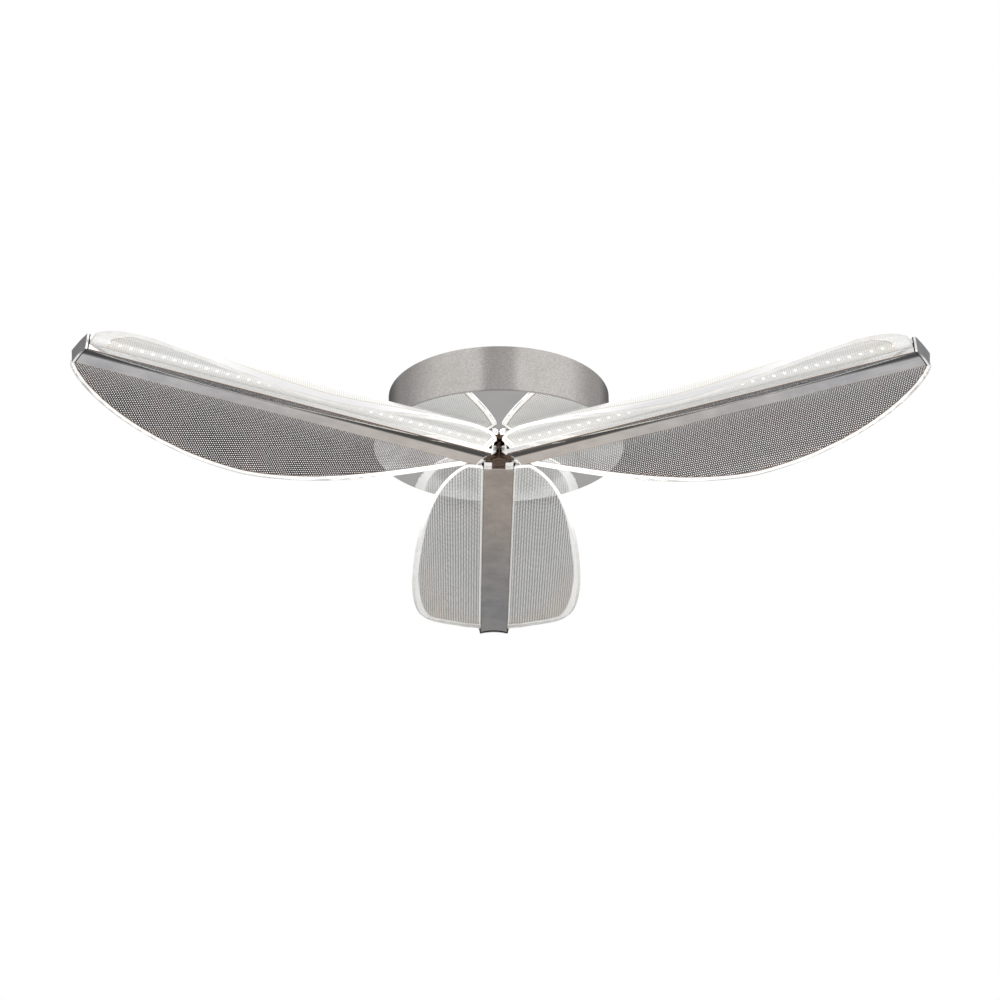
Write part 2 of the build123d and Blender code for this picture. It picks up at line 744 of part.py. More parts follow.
# Mains leads: from the block, round the post, to the driver
block_face = block_place - block_width / 2
driver_face = driver_place + driver_width / 2
mains_level = floor_top + block_base_height / 2
with BuildPart() as mains_leads:
    for side in (-1, 1):
        route = [
            (side * block_pole_pitch, block_face, mains_level),
            (side * block_pole_pitch, block_face - lead_run, mains_level),
            (side * mains_half_spread, 0, mains_level + lead_rise),
            (side * block_pole_pitch, driver_face + lead_run, mains_level),
            (side * block_pole_pitch, driver_face, mains_level),
        ]
        with BuildLine() as mains_line:
            lead_path(route)
        with BuildSketch(Plane(origin=mains_line.line @ 0, z_dir=mains_line.line % 0)):
            Circle(lead_radius)
        sweep(path=mains_line.line)
write(mains_leads.part, "mains_leads")

# LED lead: from the driver up and over into the bore of the post
post_top = floor_top + post_rise
with BuildPart() as led_lead:
    route = [
        (0, driver_face, post_top),
        (0, driver_face + lead_run, post_top),
        (0, driver_face / 2, post_top + lead_run),
        (0, 0, post_top + lead_run),
        (0, 0, post_top - lead_run),
    ]
    with BuildLine() as led_line:
        lead_path(route)
    with BuildSketch(Plane(origin=led_line.line @ 0, z_dir=led_line.line % 0)):
        Circle(lead_radius)
    sweep(path=led_line.line)
write(led_lead.part, "led_lead")
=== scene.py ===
"""LED ceiling light with three leaf arms: its looks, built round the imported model, in metres."""

from math import cos, pi, radians, sin, sqrt

import bpy
from mathutils import Matrix, Vector


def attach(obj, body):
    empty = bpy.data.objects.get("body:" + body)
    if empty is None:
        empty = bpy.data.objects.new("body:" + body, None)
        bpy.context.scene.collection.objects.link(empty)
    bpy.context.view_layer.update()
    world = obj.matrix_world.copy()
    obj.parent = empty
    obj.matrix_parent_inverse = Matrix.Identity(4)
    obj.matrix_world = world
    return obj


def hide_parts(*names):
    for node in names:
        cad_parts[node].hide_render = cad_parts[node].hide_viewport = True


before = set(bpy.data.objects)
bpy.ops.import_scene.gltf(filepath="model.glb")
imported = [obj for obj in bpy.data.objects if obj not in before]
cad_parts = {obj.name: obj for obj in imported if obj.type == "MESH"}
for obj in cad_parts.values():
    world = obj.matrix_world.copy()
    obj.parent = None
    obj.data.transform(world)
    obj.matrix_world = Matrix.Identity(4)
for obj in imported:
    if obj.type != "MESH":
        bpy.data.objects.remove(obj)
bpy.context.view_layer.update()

MM = 0.001
ARM_ANGLES = {"a": 0.0, "b": 120.0, "c": -120.0}

# Sizes of the leaves, as the model has them
BAR_BOTTOM = -66.5 * MM
LEAF_HALF_THICKNESS = 1.5 * MM
LEAF_BEND_RADIUS = 58.0 * MM
LEAF_ROOT_ANGLE = radians(12.0)
LEAF_ROOT_HALF = 15.45 * MM
LEAF_ROOT_RISE = 5.8 * MM
LEAF_ROOT_DEPTH = 3.0 * MM
LEAF_SPREAD = 82.0 * MM
LEAF_WIDEST = 220.0 * MM
LEAF_INNER_TIP = 12.0 * MM
LEAF_INNER_ROUNDNESS = 1.6
LEAF_OUTER_ROUNDNESS = 1.85
LEAF_START = 20.0 * MM
LEAF_END = 408.5 * MM
LEAF_RUN = LEAF_END - LEAF_START
LEAF_EDGE_BEVEL = 0.25 * MM
ARM_REACH = 412.0 * MM

# Fineness of a leaf's mesh: rings along it, points over its width, marks on its outline
LEAF_RINGS = 120
LEAF_COLUMNS = 44
OUTLINE_MARKS = 150

# Slots of a leaf's faces
UPPER_FACE = 0
LOWER_FACE = 1
CUT_EDGE = 2

# LED strips: the chips' pitch, half the length of a lit chip, its face, and the middle of the board
CHIP_PITCH = 10.0 * MM
CHIP_REACH = 1.5 * MM
CHIP_FACE = 10.65 * MM
BOARD_MIDDLE = 212.775 * MM

# Width of the plain band beside a leaf's rim, in mm, at distances from the hub axis in mm
BANDS = {
    "front": ((80.0, 4.0), (150.0, 8.5), (250.0, 11.0), (330.0, 15.0), (400.0, 16.0)),
    "rear": ((100.0, 4.0), (200.0, 3.2), (400.0, 3.2)),
    "far_arm": (
        (60.0, 5.0),
        (100.0, 7.5),
        (145.0, 12.0),
        (175.0, 13.0),
        (245.0, 12.0),
        (290.0, 9.0),
        (315.0, 6.5),
        (350.0, 3.0),
    ),
}
# Kind of each leaf, by where it hangs: it sets how light or dark the same acrylic is painted
LEAF_KINDS = {
    "right_a": "far_arm",
    "left_a": "far_arm",
    "left_b": "front",
    "right_b": "rear",
    "right_c": "front",
    "left_c": "rear_c",
}

# Looks of each kind of leaf, one acrylic painted lighter or darker by where the leaf hangs, as
# painted light and shade (front leaves bright, rear leaves dark):
# pitch (mm) and turn (degrees) of the honeycomb of dots, and a dot's radius as a share of the pitch
# grey and glow of the dots
# colour, glow and cover of the ground between them, and its colour and cover where it is stained
# share of the warm tint towards the tip
# colour of the outline round the field, and how much of the LED spots shows
# grey of the plain band, and its painted glow near the hub, along the middle and at the tip
# where the band's painted glow near the hub ends (m), and how much brighter the field is painted
# near the hub
LEAF_LOOKS = {
    "front": {
        "pitch": 2.26,
        "turn": 14.0,
        "radius": 0.24,
        "dot": 0.7,
        "dot_glow": 0.45,
        "ground": (0.52, 0.52, 0.51),
        "ground_glow": 0.33,
        "ground_cover": 0.8,
        "stain": (0.5, 0.485, 0.46),
        "stain_cover": 0.86,
        "tint": 0.15,
        "outline": (0.6, 0.42, 0.24),
        "spots": 1.0,
        "band": 0.8,
        "band_glow": (0.7, 0.06, 0.35),
        "hub_glow_end": 0.2,
        "hub_boost": 1.0,
    },
    "rear": {
        "pitch": 2.14,
        "turn": 14.0,
        "radius": 0.2,
        "dot": 0.9,
        "dot_glow": 0.75,
        "ground": (0.06, 0.06, 0.06),
        "ground_glow": 0.0,
        "ground_cover": 0.02,
        "stain": (0.09, 0.028, 0.02),
        "stain_cover": 0.5,
        "tint": 0.0,
        "outline": (0.25, 0.14, 0.06),
        "spots": 0.0,
        "band": 0.8,
        "band_glow": (0.7, 0.5, 0.5),
        "hub_glow_end": 0.2,
        "hub_boost": 0.8,
    },
    "far_arm": {
        "pitch": 3.0,
        "turn": 0.0,
        "radius": 0.26,
        "dot": 0.8,
        "dot_glow": 0.22,
        "ground": (0.34, 0.34, 0.34),
        "ground_glow": 0.05,
        "ground_cover": 0.15,
        "stain": (0.36, 0.34, 0.31),
        "stain_cover": 0.45,
        "tint": 0.5,
        "outline": (0.9, 0.87, 0.83),
        "spots": 0.0,
        "band": 0.6,
        "band_glow": (0.7, 0.42, 0.35),
        "hub_glow_end": 0.14,
        "hub_boost": 1.7,
    },
}
LEAF_LOOKS["rear_c"] = LEAF_LOOKS["rear"] | {"turn": 1.0}
BANDS["rear_c"] = BANDS["rear"]

# Marks on the leaves: where each fades in or out, from the rim, the band or the root
FIELD_START = (-0.2 * MM, 0.2 * MM)
OUTLINE_WIDTH = (0.5 * MM, 1.1 * MM)
# Painted shade along a leaf's rim
RIM_SHADE_WIDTH = (0.6 * MM, 1.2 * MM)
ROOT_STRIP_WIDTH = (0.8 * MM, 1.6 * MM)
SPOT_RADIUS = (1.0 * MM, 2.0 * MM)
SPOT_FROM_ROOT = 3.6 * MM
TINT_WIDTH = (6.0 * MM, 30.0 * MM)
TINT_START = (0.19, 0.26)
# Where the band's painted glow changes along the leaf
HUB_GLOW_START = 0.04
TIP_GLOW_START = (0.26, 0.36)
# Painted brightening of the field near the hub
HUB_BOOST_RUN = (0.06, 0.16)
EDGE_GLOW_RUN = (0.06, 0.15)

# How much those marks cover, and how much they glow
DOT_COVER = 0.92
LIT_COVER = 0.95
OUTLINE_COVER = 0.8
BAND_COVER = 0.94
RIM_GLOW = 0.08
OUTLINE_GLOW = 0.02
ROOT_GLOW = 0.4
SPOT_GLOW = 0.95

# Bars: two tones of the underside near the hub, a painted warm reflection that is brightest on arm
# A, and where their parts begin beside the middle
BAR_NEAR_HUB = {
    "a": ((0.8, 0.7, 0.61), (0.62, 0.55, 0.49)),
    "b": ((0.53, 0.49, 0.455), (0.46, 0.425, 0.395)),
    "c": ((0.53, 0.49, 0.455), (0.46, 0.425, 0.395)),
}
# Sides, from here out: painted bright and glowing as if lit by the leaves
BAR_SIDE_START = (14.0 * MM, 14.15 * MM)
# Lower edge, from here out to the sides: a painted dark line of shade
BAR_EDGE_START = (13.4 * MM, 13.6 * MM)
# Where the painted warm reflection fades along the arm
BAR_COOLS_ALONG = (0.03, 0.36)
BAR_CREASED = "bc"
BAR_CREASE_SLOPE = 0.06

# End caps and disc: where their parts begin and end, the caps' painted highlight and painted shade
# and the disc's painted dark edge
CAP_GAP_END = (409.9 * MM, 410.2 * MM)
CAP_RIM_END = (411.8 * MM, 411.9 * MM)
# Where the disc's painted dark edge begins
DISC_EDGE_START = (114.3 * MM, 114.6 * MM)

# Room as polished metal mirrors it: a span of directions, and the brightness before and after it.
# A direction is how far a level line of length one points back (+Y) or, for the last, right (+X).
ROOM_STEPS_IN_DEPTH = (
    (-0.6, 0.55, 1.0, 0.42),
    (0.55, 0.95, 1.0, 0.3),
    (-0.98, -0.93, 0.56, 1.0),
)
ROOM_STEP_SIDEWAYS = (-0.4, 0.4, 0.96, 1.14)
SOFT_LIGHT = 0.8

# Room as it is seen through a leaf, past both of its faces: dark, lighter on the right and low down
DARK_LEFT = (0.022, 0.017, 0.016)
DARK_RIGHT = (0.075, 0.07, 0.066)
DARK_LOW = (0.2, 0.2, 0.197)
DARK_TURN = (-0.07, 0.07)
DARK_RISE = (0.418, 0.43)
MORE_THAN_ONE_FACE = 1.5

# Floor: its size, its own light for the camera, and its tones in polished metal
FLOOR_REACH = 5.0
FLOOR_LEVEL = -1.7
FLOOR_OWN_LIGHT = 0.32
FLOOR_NEAR = (0.95, 0.94, 0.93)
FLOOR_FAR = (0.42, 0.415, 0.41)
FLOOR_TURNS_FAR = (2.3, 3.1)

# Lamps: name, place, size and power
LAMPS = (
    ("key_lamp", (-1.4, -1.6, -1.2), 1.6, 14.0),
    ("fill_lamp", (1.6, -1.2, -0.7), 1.8, 8.0),
    ("top_lamp", (0.3, 0.8, 1.6), 2.0, 12.0),
)

CAMERA_LENS = 92.5
CAMERA_PLACE = (-0.0306, -2.1168, -1.0989)
CAMERA_TURN = (radians(115.18), radians(0.19), radians(-0.763))


# Mesh helpers


def new_piece(name, points, faces, materials, slots=()):
    """Mesh object from points and faces, with a material slot for each face."""
    mesh = bpy.data.meshes.new(name)
    mesh.from_pydata(points, [], faces)
    for material in materials:
        mesh.materials.append(material)
    if slots:
        mesh.polygons.foreach_set("material_index", slots)
    mesh.update()
    piece = bpy.data.objects.new(name, mesh)
    bpy.context.scene.collection.objects.link(piece)
    return piece


def smooth(piece, angle=32.0):
    """Smooth shading, with sharp edges where faces turn more than the angle."""
    mesh = piece.data
    mesh.polygons.foreach_set("use_smooth", [True] * len(mesh.polygons))
    mesh.set_sharp_from_angle(angle=radians(angle))


# Node helpers


def feed(tree, socket, value):
    """Links a socket to another node's output, or sets it to a number, a direction or a colour."""
    if isinstance(value, bpy.types.NodeSocket):
        tree.links.new(value, socket)
    elif isinstance(value, tuple) and socket.type == "RGBA":
        socket.default_value = (*value, 1.0)
    else:
        socket.default_value = value


def fill(tree, node, **inputs):
    """Feeds a node's inputs by name."""
    for key, value in inputs.items():
        feed(tree, node.inputs[key.replace("_", " ")], value)
    return node


def put(tree, kind, options=None, **inputs):
    """Adds a node, sets its options and feeds its inputs."""
    node = tree.nodes.new(kind)
    for key, value in (options or {}).items():
        setattr(node, key, value)
    return fill(tree, node, **inputs)


def calculate(tree, operation, *values, clamp=False):
    """Result of a calculation with sockets or numbers."""
    node = put(tree, "ShaderNodeMath", {"operation": operation, "use_clamp": clamp})
    for socket, value in zip(node.inputs, values):
        feed(tree, socket, value)
    return node.outputs[0]


def product(tree, first, second):
    return calculate(tree, "MULTIPLY", first, second)


def difference(tree, first, second):
    return calculate(tree, "SUBTRACT", first, second)


def diagonal(tree, first, second):
    """Distance of a spot from where two distances at right angles are nought."""
    squares = calculate(tree, "ADD", product(tree, first, first), product(tree, second, second))
    return calculate(tree, "SQRT", squares)


def ramp(tree, value, low, high, to_low=0.0, to_high=1.0):
    """Smooth step of a value from one level to another."""
    steps = {"From_Min": low, "From_Max": high, "To_Min": to_low, "To_Max": to_high}
    smoothed = {"interpolation_type": "SMOOTHSTEP"}
    return put(tree, "ShaderNodeMapRange", smoothed, Value=value, **steps).outputs["Result"]


def fade(tree, value, low, high):
    """Smooth step down from one to nought."""
    return ramp(tree, value, low, high, 1.0, 0.0)


def blend_colours(tree, share, first, second, way="MIX"):
    """Colour between two colours, by a share."""
    node = put(tree, "ShaderNodeMix", {"data_type": "RGBA", "blend_type": way})
    for place, value in zip((0, 6, 7), (share, first, second)):
        feed(tree, node.inputs[place], value)
    return node.outputs[2]


def blend_values(tree, share, first, second):
    """Number between two numbers, by a share."""
    node = put(tree, "ShaderNodeMix", {"data_type": "FLOAT"})
    for place, value in zip((0, 2, 3), (share, first, second)):
        feed(tree, node.inputs[place], value)
    return node.outputs[0]


def mix_shaders(tree, share, first, second):
    """Shader between two shaders, by a share."""
    node = put(tree, "ShaderNodeMixShader")
    for socket, value in zip(node.inputs, (share, first, second)):
        feed(tree, socket, value)
    return node.outputs[0]


def toned(tree, colour, tone):
    """Colour made lighter or darker by a tone."""
    tones = put(tree, "ShaderNodeCombineColor", None, Red=tone, Green=tone, Blue=tone).outputs[0]
    return blend_colours(tree, 1.0, colour, tones, "MULTIPLY")


def grey(tone):
    return (tone, tone, tone)


def place_in_frame(tree):
    return put(tree, "ShaderNodeTexCoord").outputs["Object"]


def parts_of(tree, vector):
    """The three numbers of a place or a direction."""
    return put(tree, "ShaderNodeSeparateXYZ", None, Vector=vector).outputs


def scaled(tree, vector, factors):
    """Place or direction with each of its numbers multiplied by a factor."""
    node = put(tree, "ShaderNodeVectorMath", {"operation": "MULTIPLY"})
    feed(tree, node.inputs[0], vector)
    feed(tree, node.inputs[1], factors)
    return node.outputs[0]


def new_group(name, inputs, outputs):
    """Shader node group, with its inputs' outlets and its outputs' inlets."""
    group = bpy.data.node_groups.new(name, "ShaderNodeTree")
    for label, kind, value in inputs:
        socket = group.interface.new_socket(label, in_out="INPUT", socket_type=f"NodeSocket{kind}")
        if value is not None:
            socket.default_value = value
    for label, kind in outputs:
        group.interface.new_socket(label, in_out="OUTPUT", socket_type=f"NodeSocket{kind}")
    entry = group.nodes.new("NodeGroupInput")
    leave = group.nodes.new("NodeGroupOutput")
    return group, entry.outputs, leave.inputs


def use_group(tree, group, **inputs):
    return put(tree, "ShaderNodeGroup", {"node_tree": group}, **inputs).outputs


# Shared effects


def make_along_arm():
    """Place on an arm: across it, along it and up, from the place in the frame."""
    group, given, result = new_group("along_arm", [("Angle", "Float", 0.0)], [("Place", "Vector")])
    about_z = {"rotation_type": "Z_AXIS"}
    where = place_in_frame(group)
    turned = put(group, "ShaderNodeVectorRotate", about_z, Vector=where, Angle=given["Angle"])
    feed(group, result["Place"], turned.outputs[0])
    return group


def make_metal_flake():
    """Flakes in a sprayed metal coat: a tone that varies from flake to flake, and a height."""
    group, given, result = new_group(
        "metal_flake",
        [("Place", "Vector", None), ("Size", "Float", 0.0006), ("Contrast", "Float", 0.2)],
        [("Tone", "Float"), ("Height", "Float")],
    )
    place = given["Place"]
    scale = calculate(group, "DIVIDE", 1.0, given["Size"])
    flakes = put(group, "ShaderNodeTexVoronoi", {"feature": "F1"}, Vector=place, Scale=scale)
    fine = put(group, "ShaderNodeTexNoise", None, Vector=place, Scale=scale, Detail=2.0)
    shade = put(group, "ShaderNodeSeparateColor", None, Color=flakes.outputs["Color"]).outputs[0]
    centred = difference(group, shade, 0.5)
    feed(group, result["Tone"], calculate(group, "MULTIPLY_ADD", centred, given["Contrast"], 1.0))
    feed(group, result["Height"], fine.outputs[0])
    return group


def make_drawn_grain():
    """Fine lines along an arm, from the drawing of the profile: a tone and a height."""
    group, given, result = new_group(
        "drawn_grain",
        [("Place", "Vector", None), ("Width", "Float", 0.0005), ("Contrast", "Float", 0.1)],
        [("Tone", "Float"), ("Height", "Float")],
    )
    stretched = scaled(group, given["Place"], (1.0, 0.02, 1.0))
    scale = calculate(group, "DIVIDE", 1.0, given["Width"])
    lines = put(group, "ShaderNodeTexNoise", None, Vector=stretched, Scale=scale, Detail=3.0)
    centred = difference(group, lines.outputs[0], 0.5)
    feed(group, result["Tone"], calculate(group, "MULTIPLY_ADD", centred, given["Contrast"], 1.0))
    feed(group, result["Height"], lines.outputs[0])
    return group


def make_handling_wear():
    """Broad soft variation, as from wiping and handling, from nought to one."""
    group, given, result = new_group(
        "handling_wear", [("Size", "Float", 0.03)], [("Wear", "Float")]
    )
    where = place_in_frame(group)
    scale = calculate(group, "DIVIDE", 1.0, given["Size"])
    grain = {"Detail": 4.0, "Roughness": 0.6}
    clouds = put(group, "ShaderNodeTexNoise", None, Vector=where, Scale=scale, **grain)
    feed(group, result["Wear"], ramp(group, clouds.outputs[0], 0.3, 0.7))
    return group


def make_engraved_dots():
    """Round dots in a honeycomb pattern over a leaf's width and length, from nought to one."""
    group, given, result = new_group(
        "engraved_dots",
        [
            ("Place", "Vector", None),
            ("Pitch", "Float", 0.002),
            ("Turn", "Float", 0.0),
            ("Radius", "Float", 0.3),
        ],
        [("Dots", "Float")],
    )
    column_pitch = sqrt(3) / 2
    softness = 0.08
    about_z = {"rotation_type": "Z_AXIS"}
    turned = put(
        group, "ShaderNodeVectorRotate", about_z, Vector=given["Place"], Angle=given["Turn"]
    )
    width, length = parts_of(group, turned.outputs[0])[:2]
    across = calculate(group, "DIVIDE", width, given["Pitch"])
    across = calculate(group, "DIVIDE", across, column_pitch)
    column = calculate(group, "ROUND", across)
    off_column = product(group, difference(group, across, column), column_pitch)
    along = calculate(group, "DIVIDE", length, given["Pitch"])
    along = calculate(group, "MULTIPLY_ADD", column, 0.5, along)
    off_row = difference(group, along, calculate(group, "ROUND", along))
    inside = difference(group, given["Radius"], diagonal(group, off_column, off_row))
    inside = calculate(group, "DIVIDE", inside, softness)
    feed(group, result["Dots"], calculate(group, "ADD", inside, 0.5, clamp=True))
    return group


along_arm = make_along_arm()
metal_flake = make_metal_flake()
drawn_grain = make_drawn_grain()
handling_wear = make_handling_wear()
engraved_dots = make_engraved_dots()


def place_on_arm(tree, letter):
    return use_group(tree, along_arm, Angle=-radians(ARM_ANGLES[letter]))["Place"]


def wear_of(tree, size):
    return use_group(tree, handling_wear, Size=size)["Wear"]


def off_chip(tree, length):
    """Distance along an arm from the middle of the nearest LED chip, in pitches."""
    pitches = calculate(tree, "DIVIDE", difference(tree, length, BOARD_MIDDLE), CHIP_PITCH)
    return difference(tree, pitches, calculate(tree, "ROUND", pitches))


# Materials


def new_material(name, **settings):
    """Material with one Principled shader, its tree and the shader."""
    material = bpy.data.materials.new(name)
    material.use_nodes = True
    tree = material.node_tree
    return material, tree, fill(tree, tree.nodes["Principled BSDF"], **settings)


def link_bump(tree, shader, height, strength, distance):
    bump = put(tree, "ShaderNodeBump", None, Strength=strength, Distance=distance, Height=height)
    fill(tree, shader, Normal=bump.outputs[0])
    return bump


def sprayed_nickel():
    material, tree, shader = new_material("sprayed_nickel", Metallic=1.0)
    place = place_in_frame(tree)
    flake = use_group(tree, metal_flake, Place=place, Size=0.0007, Contrast=0.34)
    wear = wear_of(tree, 0.05)
    colour = blend_colours(tree, wear, (0.56, 0.535, 0.515), (0.52, 0.49, 0.465))
    roughness = blend_values(tree, wear, 0.15, 0.2)
    fill(tree, shader, Base_Color=toned(tree, colour, flake["Tone"]), Roughness=roughness)
    link_bump(tree, shader, flake["Height"], 0.12, 0.0002)
    return material


def mirror_polish():
    """Polished sheet, with painted shade on its cut edge."""
    material, tree, shader = new_material("mirror_polish", Metallic=1.0)
    wear = wear_of(tree, 0.02)
    length = put(tree, "ShaderNodeVectorMath", {"operation": "LENGTH"})
    feed(tree, length.inputs[0], scaled(tree, place_in_frame(tree), (1.0, 1.0, 0.0)))
    edge = ramp(tree, length.outputs["Value"], *DISC_EDGE_START)
    colour = blend_colours(tree, wear, (0.88, 0.88, 0.88), (0.84, 0.84, 0.845))
    # Painted shade on the disc's cut edge
    colour = blend_colours(tree, edge, colour, (0.38, 0.37, 0.36))
    fill(tree, shader, Base_Color=colour, Roughness=blend_values(tree, wear, 0.015, 0.035))
    return material


def bar_metal(letter):
    """Polished grey aluminium, drawn along the arm, with painted light: a warm reflection near the
    hub, a dark line along the lower edge, and sides painted bright and glowing beside the leaves.
    """
    material, tree, shader = new_material(
        f"bar_metal_{letter}", Metallic=1.0, Emission_Strength=1.0
    )
    place = place_on_arm(tree, letter)
    grain = use_group(tree, drawn_grain, Place=place, Width=0.0012, Contrast=0.16)
    wear = wear_of(tree, 0.025)
    sideways, length = parts_of(tree, place)[:2]
    across = calculate(tree, "ABSOLUTE", sideways)
    side = ramp(tree, across, *BAR_SIDE_START)
    edge = product(tree, ramp(tree, across, *BAR_EDGE_START), difference(tree, 1.0, side))
    out = ramp(tree, length, *BAR_COOLS_ALONG)
    # Painted warm reflection near the hub, brightest on arm A, fading to the cooler grey along the
    # arm
    warm = blend_colours(tree, wear, *BAR_NEAR_HUB[letter])
    cool = blend_colours(tree, wear, (0.49, 0.485, 0.49), (0.38, 0.38, 0.4))
    under = toned(tree, blend_colours(tree, out, warm, cool), grain["Tone"])
    # Painted shade: a dark brown line along the lower edge
    under = blend_colours(tree, edge, under, (0.34, 0.19, 0.1))
    # Painted glow of the sides, as if lit by the leaves; the sides are painted a lighter grey too
    glow = blend_colours(tree, out, (0.14, 0.14, 0.135), (0.08, 0.08, 0.08))
    fill(
        tree,
        shader,
        Base_Color=blend_colours(tree, side, under, grey(0.66)),
        Emission_Color=blend_colours(tree, side, grey(0.0), glow),
        Roughness=blend_values(tree, wear, 0.03, 0.06),
    )
    bump = link_bump(tree, shader, grain["Height"], 0.04, 0.0002)
    if letter in BAR_CREASED:
        rise = product(tree, across, BAR_CREASE_SLOPE)
        crease = put(tree, "ShaderNodeBump", None, Strength=1.0, Distance=1.0, Height=rise)
        fill(tree, bump, Normal=crease.outputs[0])
    return material


def cap_metal(letter):
    """End cap: satin grey face, a painted highlight along its rim and painted shade in the gap
    before the bar.
    """
    material, tree, shader = new_material(f"cap_metal_{letter}", Metallic=1.0)
    length = parts_of(tree, place_on_arm(tree, letter))[1]
    wear = wear_of(tree, 0.012)
    face = blend_colours(tree, wear, (0.46, 0.455, 0.47), (0.40, 0.395, 0.41))
    # Painted highlight along the cap's rim
    metal = blend_colours(tree, fade(tree, length, *CAP_RIM_END), face, (0.85, 0.84, 0.83))
    # Painted shade in the gap before the bar
    colour = blend_colours(tree, fade(tree, length, *CAP_GAP_END), metal, (0.03, 0.025, 0.022))
    fill(tree, shader, Base_Color=colour, Roughness=blend_values(tree, wear, 0.16, 0.24))
    return material


def worn_metal(name, wear_size, bright, dull, roughness):
    """Bare metal whose colour and gloss vary softly."""
    material, tree, shader = new_material(name, Metallic=1.0)
    wear = wear_of(tree, wear_size)
    colour = blend_colours(tree, wear, bright, dull)
    fill(tree, shader, Base_Color=colour, Roughness=blend_values(tree, wear, *roughness))
    return material


def speckled_bronze():
    material, tree, shader = new_material("speckled_bronze", Metallic=0.85)
    place = place_in_frame(tree)
    flake = use_group(tree, metal_flake, Place=place, Size=0.0008, Contrast=1.3)
    colour = toned(tree, (0.13, 0.085, 0.06), flake["Tone"])
    roughness = blend_values(tree, flake["Tone"], 0.5, 0.36)
    fill(tree, shader, Base_Color=colour, Roughness=roughness)
    link_bump(tree, shader, flake["Height"], 0.3, 0.0003)
    return material


def zinc_plate():
    material, tree, shader = new_material("zinc_plate", Metallic=1.0)
    place = place_in_frame(tree)
    flake = use_group(tree, metal_flake, Place=place, Size=0.004, Contrast=0.16)
    wear = wear_of(tree, 0.012)
    colour = blend_colours(tree, wear, (0.66, 0.67, 0.69), (0.56, 0.57, 0.58))
    roughness = blend_values(tree, wear, 0.3, 0.42)
    fill(tree, shader, Base_Color=toned(tree, colour, flake["Tone"]), Roughness=roughness)
    return material


def moulded_plastic(name, light, dark, roughness):
    """Moulded plastic with a fine spark texture."""
    material, tree, shader = new_material(name)
    place = place_in_frame(tree)
    flake = use_group(tree, metal_flake, Place=place, Size=0.0005, Contrast=0.05)
    wear = wear_of(tree, 0.015)
    colour = toned(tree, blend_colours(tree, wear, light, dark), flake["Tone"])
    dullest = roughness + 0.1
    fill(tree, shader, Base_Color=colour, Roughness=blend_values(tree, wear, roughness, dullest))
    link_bump(tree, shader, flake["Height"], 0.15, 0.0002)
    return material


def led_board(letter):
    """White board, painted with a faint glow, and a lit chip at each pitch along the arm."""
    material, tree, shader = new_material(
        f"led_board_{letter}", Roughness=0.5, Emission_Strength=1.0
    )
    across, length = parts_of(tree, place_on_arm(tree, letter))[:2]
    off_middle = calculate(tree, "ABSOLUTE", off_chip(tree, length))
    on_chip = calculate(tree, "LESS_THAN", off_middle, CHIP_REACH / CHIP_PITCH)
    across = calculate(tree, "ABSOLUTE", across)
    proud = calculate(tree, "GREATER_THAN", across, CHIP_FACE)
    chip = product(tree, on_chip, proud)
    fill(
        tree,
        shader,
        Base_Color=blend_colours(tree, chip, (0.86, 0.86, 0.83), (0.95, 0.86, 0.5)),
        # The board between the chips has a painted faint glow
        Emission_Color=blend_colours(tree, chip, (0.12, 0.11, 0.1), (3.0, 2.8, 2.4)),
    )
    return material


def leaf_places(tree):
    """Place on a leaf and its two parts, its width and its length, in metres."""
    place = put(tree, "ShaderNodeUVMap", {"uv_map": "leaf"}).outputs[0]
    width, length = parts_of(tree, place)[:2]
    return place, width, length


def stored(tree, name):
    """Number that a leaf's points carry."""
    return put(tree, "ShaderNodeAttribute", {"attribute_name": name}).outputs["Fac"]


